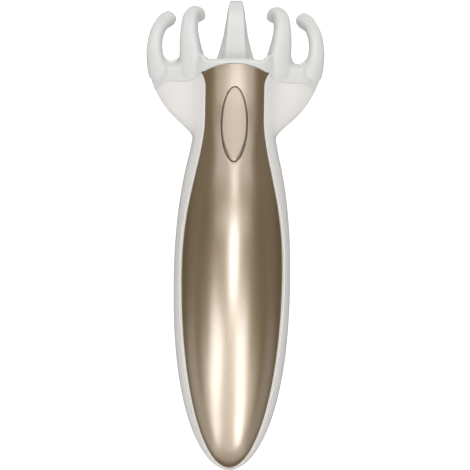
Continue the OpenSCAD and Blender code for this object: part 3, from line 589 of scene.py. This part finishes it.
def roundedBox(xy, centre, a, b, r):
    # where the ray from the centre through each point leaves a box with round corners
    away = xy - np.array(centre)
    scale = 1 / np.maximum(np.abs(away[:, 0]) / a, np.abs(away[:, 1]) / b)
    hit = away * scale[:, None]
    corner = np.sign(away) * [a - r, b - r]
    inCorner = (np.abs(hit[:, 0]) > a - r) & (np.abs(hit[:, 1]) > b - r)
    unit = away / np.linalg.norm(away, axis=1)[:, None]
    along = (unit * corner).sum(1)
    off = (corner ** 2).sum(1) - along ** 2
    far = along + np.sqrt(np.maximum(r * r - off, 0))
    return np.array(centre) + np.where(inCorner[:, None], unit * far[:, None], hit)


def doorOutline(xy, m):
    # the door's outline, grown by m, on the rays from its middle through the points
    d = doorShape
    centre = (0, (d["footY"] + d["latchY"]) / 2)
    halfLength = (d["latchY"] - d["footY"]) / 2
    return roundedBox(xy, centre, d["w"] / 2 + m, halfLength + m, d["corner"] + m)


def doorOpening(xy, m):
    # the outline of the opening that the door closes, grown by m
    return doorOutline(xy, doorShape["gap"] + m)


def roundHole(place):
    # gives the outline of a screw hole: the circle's points on the rays from its centre
    def outline(xy, m):
        away = xy - np.array(place)
        unit = away / np.linalg.norm(away, axis=1)[:, None]
        return np.array(place) + unit * (screwHoles["r"] + m)

    return outline


def openingRings(grid, block, outline, depth, firstNew):
    # rings from the edge of a block of the grid to outline(xy, grown), over a rounded rim and
    # in by the depth; the points and the quads, numbered on from firstNew
    e = openingEdge
    r0, r1, c0, c1 = block
    index = np.arange(grid.shape[0] * grid.shape[1]).reshape(grid.shape[:2])
    loop = np.concatenate([
        index[r0, c0:c1], index[r0:r1, c1], index[r1, c1:c0:-1], index[r1:r0:-1, c0],
    ])
    start = grid.reshape(-1, 3)[loop, :2]
    target = outline(start, e["rim"])
    rings = []
    for share in np.linspace(0, 1, e["rings"])[1:]:
        rings.append(backRing(start + (target - start) * share, 0, 0))
    for a in quarterTurns(e["steps"])[1:]:
        xy = outline(start, e["rim"] * (1 - math.sin(a)))
        rings.append(backRing(xy, 0, e["rim"] * (1 - math.cos(a))))
    rings.append(rings[-1] + [0, 0, depth])
    points = np.concatenate(rings)
    ids = np.concatenate([loop, firstNew + np.arange(len(points))]).reshape(-1, len(loop))
    after = np.roll(ids, -1, 1)
    return points, np.stack([ids[:-1], after[:-1], after[1:], ids[1:]], -1).reshape(-1, 4)


def rowsFor(sideY, y0, y1):
    # the grid's rows just outside the stations y0 and y1
    return int(np.searchsorted(sideY, y0) - 1), int(np.searchsorted(sideY, y1))


def backOpenings(grid, sideY):
    # the door's opening and the screw holes: block of the grid, outline and depth of each
    d, s, cols = doorShape, screwHoles, grid.shape[1]
    backStart = housingShape["wallCols"] + housingShape["bandCols"]
    sides = backStart + d["blockInset"], cols - 1 - backStart - d["blockInset"]
    openings = [((*rowsFor(sideY, *d["blockY"]), *sides), doorOpening, d["wall"])]
    for place in s["places"]:
        x = grid[int(np.searchsorted(sideY, place[1])), :, 0]
        near = np.argmin(np.abs(x[backStart:cols - backStart] - place[0])) + backStart
        reach = int(np.ceil(s["block"] / (abs(x[near + 1] - x[near]) + 1e-9)))
        rows = rowsFor(sideY, place[1] - s["block"], place[1] + s["block"])
        openings.append(((*rows, near - reach, near + reach), roundHole(place), s["depth"]))
    return openings


def buildHousing():
    # the grid with its openings cut into the back
    sideY, edgeY, q = housingRows()
    grid = housingGrid(sideY, edgeY, q)
    rows, cols = grid.shape[:2]
    kept = np.ones((rows - 1, cols - 1), bool)
    points, quads, count = [grid.reshape(-1, 3)], [], rows * cols
    for block, outline, depth in backOpenings(grid, sideY):
        r0, r1, c0, c1 = block
        kept[r0:r1, c0:c1] = False
        newPoints, newQuads = openingRings(grid, block, outline, depth, count)
        points.append(newPoints)
        quads.append(newQuads)
        count += len(newPoints)
    quads.insert(0, gridFaces(rows, cols)[kept.reshape(-1)])
    return makePiece("housing_shell", np.concatenate(points), np.concatenate(quads), white)


print("rear housing")
housing = buildHousing()
wall = housing.modifiers.new("wall", "SOLIDIFY")
wall.thickness = housingShape["wall"] * mm
wall.offset = -1
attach(housing, "handle")
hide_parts("rear_housing")

doorMesh = dict(cols=360, rings=150, underRings=24)
gripShape = dict(count=8, pitch=1.5, start=3, w=9, fade=0.5, depth=0.28, half=0.45)
tongueShape = dict(
    x=6, w=4, reach=3, root=4,  # place, width, and length outside and inside the door's edge
    under=2.5, inDoor=1.0, bottom=3.7, step=0.01,  # depths below the skin, and their step
)


def doorTongue(side):
    # sections along y of a slab between two depths below the skin, thicker inside the door
    t = tongueShape
    x = side * t["x"] + np.linspace(-0.5, 0.5, 5) * t["w"]
    sections = (
        (-t["reach"], t["under"]), (-t["step"], t["under"]),
        (t["step"], t["inDoor"]), (t["root"], t["inDoor"]),
    )
    rings = []
    for along, top in sections:
        xy = np.column_stack([x, np.full(len(x), doorShape["footY"] + along)])
        rings.append(np.concatenate([backRing(xy, top, 0), backRing(xy, t["bottom"], 0)[::-1]]))
    rings = np.array(rings)
    middles = rings.mean(1, keepdims=True)
    poles = middles + (rings - middles) * 1e-5
    return turned(tube(np.concatenate([poles[:1], rings, poles[-1:]])))


def gripDepth(xy):
    # rounded grooves across the door, one each pitch, fading at their ends
    g = gripShape
    along = doorShape["latchY"] - g["start"] - xy[:, 1]
    number = np.clip(np.round(along / g["pitch"]), 0, g["count"] - 1)
    off = np.abs(along - number * g["pitch"]) / g["half"]
    inside = smoothStep((g["w"] / 2 + g["fade"] - np.abs(xy[:, 0])) / (2 * g["fade"]))
    return g["depth"] * np.sqrt(np.maximum(1 - off ** 2, 0)) * inside


def buildDoor():
    # rings from the middle to the outline on the back's skin, over the rounded rim, and back
    # to the middle on the inside
    d, e = doorShape, openingEdge
    centre = np.array([0, (d["footY"] + d["latchY"]) / 2])
    turn = np.linspace(0, 2 * math.pi, doorMesh["cols"], endpoint=False)
    rays = centre + np.stack([d["w"] * np.cos(turn), (d["latchY"] - d["footY"]) * np.sin(turn)], -1)
    edge = doorOutline(rays, -e["rim"])
    outline = doorOutline(rays, 0)
    rings = []
    for share in np.linspace(0, 1, doorMesh["rings"]):
        xy = centre + (edge - centre) * max(share, 1e-6)
        rings.append(backRing(xy, 0, gripDepth(xy)))
    for a in quarterTurns(e["steps"])[1:]:
        xy = doorOutline(rays, -e["rim"] * (1 - math.sin(a)))
        rings.append(backRing(xy, 0, e["rim"] * (1 - math.cos(a))))
    for share in np.linspace(1, 0, doorMesh["underRings"]):
        rings.append(backRing(centre + (outline - centre) * max(share, 1e-6), d["wall"], 0))
    panel = joinParts([tube(rings), doorTongue(-1), doorTongue(1)])
    return makePiece("door_panel", *panel, white)


print("battery door")
door = buildDoor()
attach(door, "door")
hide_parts("battery_door")

clawShape = dict(
    proud=0.22, startY=60, bow=2.6, warpFrom=70,  # palm: skin over the body, bow of its front
    notchX=28.4, notchTop=80.6, notchR=4.35,  # round notch beside the outer finger
    rootFrom=12.4, rootRun=2.2,  # where the front edge goes forward into the fingers' roots
    gap=-0.1, coverGap=0.05, shelfZ=24,  # seam, gap round the cover, and the hood's underside
    rows=70, cols=300, voxel=0.34,  # mesh
)
seamCutter = dict(halfW=44, backY=40, bottom=-5, top=60, cols=200)
rootRelax = dict(  # smoothing of the skin where the fingers grow out of the palm
    startY=74, startRun=2, endY=85, endRun=4,  # band along the part
    reach=5.6, reachRun=2, far=0.15,  # distance from a notch, and the weight elsewhere
    levels=10, passes=45, passesAll=4,  # steps of the weight, rounds there and rounds all over
)
outerFinger = dict(
    path=[[34, 73, 19.5], [37.2, 79.5, 20.5], [36.8, 87, 18.8], [35.4, 94, 12.5], [30.4, 96.7, 3.6]],
    radii=[[0, 5.0], [0.12, 4.2], [0.25, 3.65], [0.5, 3.15], [0.8, 2.95], [0.92, 3.35], [1, 3.4]],
    square=2.5,
)
innerFinger = dict(
    path=[[18.7, 73, 19.5], [19.4, 82, 20.8], [22.6, 91.5, 19], [20.8, 102, 11.5], [17.0, 98.7, 3.3]],
    radii=[[0, 6.4], [0.12, 5.7], [0.25, 4.85], [0.5, 3.75], [0.8, 3.2], [0.92, 3.2], [1, 3.2]],
    square=2.9,
)
middleShape = dict(
    path=[[0, 77.3, 20.7], [0, 90, 21.5], [0, 101.4, 21.2], [0, 102.2, 10], [0, 101.9, 1.2]],
    halfW=[[0, 8.9], [0.1, 7.3], [0.25, 5.5], [0.5, 4.15], [0.75, 3.6], [0.93, 3.5], [1, 3.3]],
    halfH=[[0, 4.7], [0.25, 4.3], [0.5, 4.0], [0.75, 3.5], [0.93, 3.4], [1, 3.1]],
    facet=[[0, 4.7], [0.1, 4.4], [0.25, 3.9], [0.5, 3.3], [0.75, 2.8], [1, 2.6]],
    sides=[[1, 0.05], [0.93, -0.55], [0.6, -1]],  # corners below the facet, in halfW and halfH
    closeFrom=0.97, closeRun=0.03,  # rounding of the tip
)
fingerMesh = dict(steps=90, cols=48, capSteps=12, middleSteps=110, sideSteps=8)


def bezier(points, u):
    # point at u of the curve of a list of control points, halving the list step by step
    p = np.array(points, float)[:, None, :] + 0 * u[None, :, None]
    while len(p) > 1:
        p = p[:-1] * (1 - u)[None, :, None] + p[1:] * u[None, :, None]
    return p[0]


def lookup(u, table):
    # straight lines between the table's pairs of place and value
    table = np.array(table, float)
    return np.interp(u, table[:, 0], table[:, 1])


def sweepRings(centre, across, up, shape):
    # a profile of points a, b laid along a path: centre + a across + b up
    return centre[:, None] + shape[..., :1] * across[:, None] + shape[..., 1:] * up[:, None]


def fingerFrames(path, steps):
    # points of the curve with the unit vectors along it, across it and out of its front
    u = np.linspace(0, 1, steps)
    centre = bezier(path, u)
    ahead = np.gradient(centre, axis=0)
    ahead /= np.linalg.norm(ahead, axis=1)[:, None]
    across = np.cross(ahead, [0.3, 0, 1.0])
    across /= np.linalg.norm(across, axis=1)[:, None]
    return u, centre, ahead, across, np.cross(across, ahead)


def roundFinger(finger, side):
    # rounded squares along the curve (a circle with its sides pushed out by the power), closed
    # by half a ball at each end
    u, centre, ahead, across, up = fingerFrames(finger["path"], fingerMesh["steps"])
    r = lookup(u, finger["radii"])
    cap = quarterTurns(fingerMesh["capSteps"])[:-1]
    shift, shrink = np.cos(cap), np.maximum(np.sin(cap), 1e-3)

    def held(vectors):
        # the first and the last vector kept through the half balls
        ends = [np.tile(v, (len(cap), 1)) for v in (vectors[0], vectors[-1])]
        return np.concatenate([ends[0], vectors, ends[1]])

    centre = np.concatenate([
        centre[0] - ahead[0] * r[0] * shift[:, None], centre,
        centre[-1] + ahead[-1] * r[-1] * shift[::-1, None],
    ])
    r = np.concatenate([r[0] * shrink, r, r[-1] * shrink[::-1]])
    a = np.linspace(0, 2 * math.pi, fingerMesh["cols"], endpoint=False)
    loop = np.stack([np.cos(a), np.sin(a)], -1)
    loop /= (np.abs(loop) ** finger["square"]).sum(1)[:, None] ** (1 / finger["square"])
    rings = sweepRings(centre, held(across), held(up), loop[None] * r[:, None, None])
    rings[..., 0] *= side
    return tube(rings) if side < 0 else turned(tube(rings))


def middleFinger():
    # a flat front facet between bevelled sides, carried along the curve and rounded off
    m = middleShape
    u, centre, ahead, across, up = fingerFrames(m["path"], fingerMesh["middleSteps"])
    across = np.tile([1.0, 0, 0], (len(u), 1))
    up = np.cross(across, ahead)
    w, h, facet = (lookup(u, m[k]) for k in ("halfW", "halfH", "facet"))
    right = np.stack([
        np.stack([facet, h], -1), *(np.stack([a * w, b * h], -1) for a, b in m["sides"]),
    ], 1)
    left = right[:, ::-1] * [-1, 1]
    corners = np.concatenate([left[:, -1:], right, left[:, :-1]], 1)
    nextCorner = np.roll(corners, -1, 1)
    steps = np.linspace(0, 1, fingerMesh["sideSteps"], endpoint=False)[None, None, :, None]
    loop = (corners[:, :, None] + (nextCorner - corners)[:, :, None] * steps).reshape(len(u), -1, 2)
    tip = ((u - m["closeFrom"]) / m["closeRun"]).clip(0, 1)
    shrink = np.sqrt(np.maximum(1 - tip ** 2, 1e-6))
    rings = sweepRings(centre, across, up, loop * shrink[:, None, None])
    first = rings[:1] * 1e-3 + centre[:1, None] * (1 - 1e-3)
    return tube(np.concatenate([first, rings]))


def palmEnd(x):
    # front edge between the fingers: a shallow bow in the middle, carried forward inside the
    # fingers' roots, with a round notch beside the outer finger
    c = clawShape
    x = np.abs(x)
    bowed = bodyShape["palmEndY"] - c["bow"] * (x / bodyShape["headR"]) ** 2
    root = smoothStep((x - c["rootFrom"]) / c["rootRun"])
    u = np.clip((x - c["notchX"]) / c["notchR"], -1, 1)
    notch = c["notchTop"] - c["notchR"] * np.sqrt(1 - u * u)
    return bowed + (notch - bowed) * root


def palmSolid():
    # the body's own sections, a little proud, closed at the front by the rounded edge
    c, endY = clawShape, bodyShape["palmEndY"]
    y = c["startY"] + (endY - 0.02 - c["startY"]) * np.sin(quarterTurns(c["rows"]))
    s = np.linspace(0, 2 * math.pi, c["cols"], endpoint=False)
    rings = skinPoint(y[:, None] + 0 * s, s + 0 * y[:, None], -c["proud"])
    warp = smoothStep((rings[..., 1] - c["warpFrom"]) / (endY - c["warpFrom"]))
    rings[..., 1] += (palmEnd(rings[..., 0]) - endY) * warp
    first = rings[:1] * 1e-3 + rings[:1].mean(1, keepdims=True) * (1 - 1e-3)
    last = rings[-1:] * [1, 1, 0] + [0, 0, partingZ]
    return turned(tube(np.concatenate([first, rings, last])))


def prism(outline, z0, z1):
    # upright prism over a plan outline, anticlockwise
    mid = outline.mean(0)
    plan = [mid + (outline - mid) * 1e-3, outline, outline, mid + (outline - mid) * 1e-3]
    heights = (z0, z0, z1, z1)
    return tube([np.column_stack([p, np.full(len(p), z)]) for p, z in zip(plan, heights)])


def applyModifiers(piece):
    # a mesh with the piece's modifiers applied, in place of its own
    graph = bpy.context.evaluated_depsgraph_get()
    graph.update()
    made = bpy.data.meshes.new_from_object(piece.evaluated_get(graph))
    piece.modifiers.clear()
    piece.data = made


def cutBy(piece, cutter):
    # takes the cutter's solid out of the piece and deletes the cutter
    cut = piece.modifiers.new("cut", "BOOLEAN")
    cut.operation = "DIFFERENCE"
    cut.solver = "EXACT"
    cut.object = cutter
    applyModifiers(piece)
    bpy.data.objects.remove(cutter)


def cutPalm():
    # the palm cut along the seam and, above the hood's underside, round the cover
    c, s = clawShape, seamCutter
    palm = makePiece("claw_skin", *palmSolid(), elastomer)
    x = np.linspace(-s["halfW"], s["halfW"], s["cols"])
    edge = np.column_stack([x, seam(x) + c["gap"]])
    corners = [[-s["halfW"], s["backY"]], [s["halfW"], s["backY"]]]
    plan = np.concatenate([corners, edge[::-1]])
    cutBy(palm, makePiece("seam_cutter", *prism(plan, s["bottom"], s["top"]), elastomer))
    plan = coverOutline(c["coverGap"])
    cutBy(palm, makePiece("cover_cutter", *prism(plan, c["shelfZ"], s["top"]), elastomer))
    return palm


def rootWeight(x, y):
    # 1 round the notches and a smaller share elsewhere, inside the band of the roots
    r = rootRelax
    band = smoothStep((y - r["startY"]) / r["startRun"]) * smoothStep((r["endY"] - y) / r["endRun"])
    near = smoothStep((r["reach"] - np.abs(np.abs(x) - clawShape["notchX"])) / r["reachRun"])
    return band * (r["far"] + (1 - r["far"]) * near)


def relaxSkin(piece):
    # a little smoothing all over and more at the roots, weighted in steps
    r = rootRelax
    place = np.empty(len(piece.data.vertices) * 3)
    piece.data.vertices.foreach_get("co", place)
    x, y, _ = place.reshape(-1, 3).T / mm
    weights = rootWeight(x, y)
    group = piece.vertex_groups.new(name="roots")
    for weight in np.linspace(1 / r["levels"], 1, r["levels"]):
        near = np.abs(weights - weight) < 0.5 / r["levels"]
        group.add(np.nonzero(near)[0].tolist(), float(weight), "REPLACE")
    for passes, groupName in ((r["passesAll"], ""), (r["passes"], "roots")):
        relax = piece.modifiers.new("relax", "SMOOTH")
        relax.factor = 0.5
        relax.iterations = passes
        relax.vertex_group = groupName
    applyModifiers(piece)


def buildClaw():
    # the palm and the fingers, remeshed as one skin and relaxed
    parts = [middleFinger()]
    for side in (1, -1):
        parts.append(roundFinger(outerFinger, side))
        parts.append(roundFinger(innerFinger, side))
    claw = cutPalm()
    fingers = makePiece("fingers", *joinParts(parts), elastomer)
    both = bmesh.new()
    both.from_mesh(claw.data)
    both.from_mesh(fingers.data)
    both.to_mesh(claw.data)
    both.free()
    bpy.data.objects.remove(fingers)
    remesh = claw.modifiers.new("skin", "REMESH")
    remesh.mode = "VOXEL"
    remesh.voxel_size = clawShape["voxel"] * mm
    applyModifiers(claw)
    relaxSkin(claw)
    claw.data.shade_smooth()
    claw.data.materials.clear()
    claw.data.materials.append(elastomer)
    return claw


print("claw")
claw = buildClaw()
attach(claw, "handle")
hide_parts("claw")

stageShape = dict(size=6.0, white=0.2, rough=0.9, glow=1.0)  # metres


def buildFloor():
    # a plain square that lights itself a little
    s = stageShape["size"] / 2 / mm
    points = [[-s, -s, 0], [s, -s, 0], [s, s, 0], [-s, s, 0]]
    material, _, shader = newMaterial("pale_floor")
    shader.inputs["Base Color"].default_value = (*[stageShape["white"]] * 3, 1)
    shader.inputs["Roughness"].default_value = stageShape["rough"]
    shader.inputs["Emission Color"].default_value = (1, 1, 1, 1)
    shader.inputs["Emission Strength"].default_value = stageShape["glow"]
    floor = makePiece("pale_floor", points, [[0, 1, 2, 3]], material)
    floor.visible_glossy = False


worldLook = dict(colour=(1, 0.99, 0.975, 1), strength=0.16)
lightPlan = [  # name, middle, size, turn about the upright, tilt about x, radiance
    ("head_softbox", (0, 0.8, 0.45), (1.2, 0.6), 0, -62, 3.0),
    ("crown_strip", (0.014, 0.0, 0.37), (0.075, 0.11), 0, 0, 6.6),
    ("crown_strip_far", (0.014, 0.145, 0.37), (0.06, 0.06), 0, 0, 4.6),
    ("neck_card", (0, 0.068, 0.375), (0.4, 0.04), 0, 0, 1.9),
    ("neck_card_far", (0, 0.2, 0.375), (0.52, 0.07), 0, 0, 1.8),
    ("left_strip_near", (-0.175, -0.158, 0.37), (0.135, 0.21), -23.5, 0, 3.5),
    ("left_strip_far", (-0.25, -0.405, 0.37), (0.15, 0.30), -23.5, 0, 2.9),
    ("right_strip_near", (0.125, -0.166, 0.37), (0.12, 0.21), 15, 0, 3.6),
    ("right_strip_far", (0.17, -0.39, 0.37), (0.13, 0.26), 15, 0, 4.6),
    ("foot_card", (-0.02, -0.33, 0.38), (0.26, 0.5), 0, 0, 1.1),
    ("left_card", (-0.36, -0.28, 0.38), (0.2, 0.3), -20, 0, 0.9),
    ("right_card", (0.31, -0.3, 0.38), (0.2, 0.3), 15, 0, 0.8),
    ("foot_softbox", (0, -0.85, 0.35), (1.3, 0.5), 0, 66, 0.6),
    ("left_softbox_foot", (-0.75, -0.5, 0.25), (0.9, 0.4), -56, 70, 0.6),
    ("right_softbox_foot", (0.75, -0.5, 0.25), (0.9, 0.4), 56, 70, 0.4),
    ("left_softbox_head", (-0.8, 0.3, 0.3), (0.7, 0.5), -110, 68, 0.12),
    ("right_softbox_head", (0.8, 0.3, 0.3), (0.7, 0.5), 110, 68, 0.12),
]


def areaLight(name, place, size, turn, tilt, radiance):
    # a panel that faces down, tilted about its own x and then turned about the upright
    data = bpy.data.lights.new(name, "AREA")
    data.shape = "RECTANGLE"
    data.size, data.size_y = size
    data.energy = radiance * math.pi * size[0] * size[1]
    light = bpy.data.objects.new(name, data)
    light.location = place
    light.rotation_euler = (math.radians(tilt), 0, math.radians(turn))
    bpy.context.scene.collection.objects.link(light)


def buildWorld():
    # a faint even sky that the gloss doesn't show
    world = bpy.data.worlds.new("studio")
    world.use_nodes = True
    sky = world.node_tree.nodes["Background"]
    sky.inputs["Color"].default_value = worldLook["colour"]
    sky.inputs["Strength"].default_value = worldLook["strength"]
    bpy.context.scene.world = world
    world.cycles_visibility.glossy = False


cameraShape = dict(  # metres and degrees
    height=3.0, focusZ=partingZ * mm, frameWidth=0.21018, aimX=0.00107, aimY=0.0, roll=0.9,
    sensor=36, clip=(0.05, 20),
)


def buildCamera():
    # looks straight down; the lens makes frameWidth fill the picture at the height focusZ
    c = cameraShape
    data = bpy.data.cameras.new("camera")
    data.sensor_width = c["sensor"]
    data.lens = c["sensor"] * (c["height"] - c["focusZ"]) / c["frameWidth"]
    data.clip_start, data.clip_end = c["clip"]
    data.dof.use_dof = False
    camera = bpy.data.objects.new("camera", data)
    camera.location = (c["aimX"], c["aimY"], c["height"])
    camera.rotation_euler = (0, 0, math.radians(c["roll"]))
    bpy.context.scene.collection.objects.link(camera)
    bpy.context.scene.camera = camera


print("light and camera")
buildFloor()
buildWorld()
for plan in lightPlan:
    areaLight(*plan)
buildCamera()
bpy.context.scene.view_settings.view_transform = "Standard"
bpy.context.scene.view_settings.look = "None"

print("done")
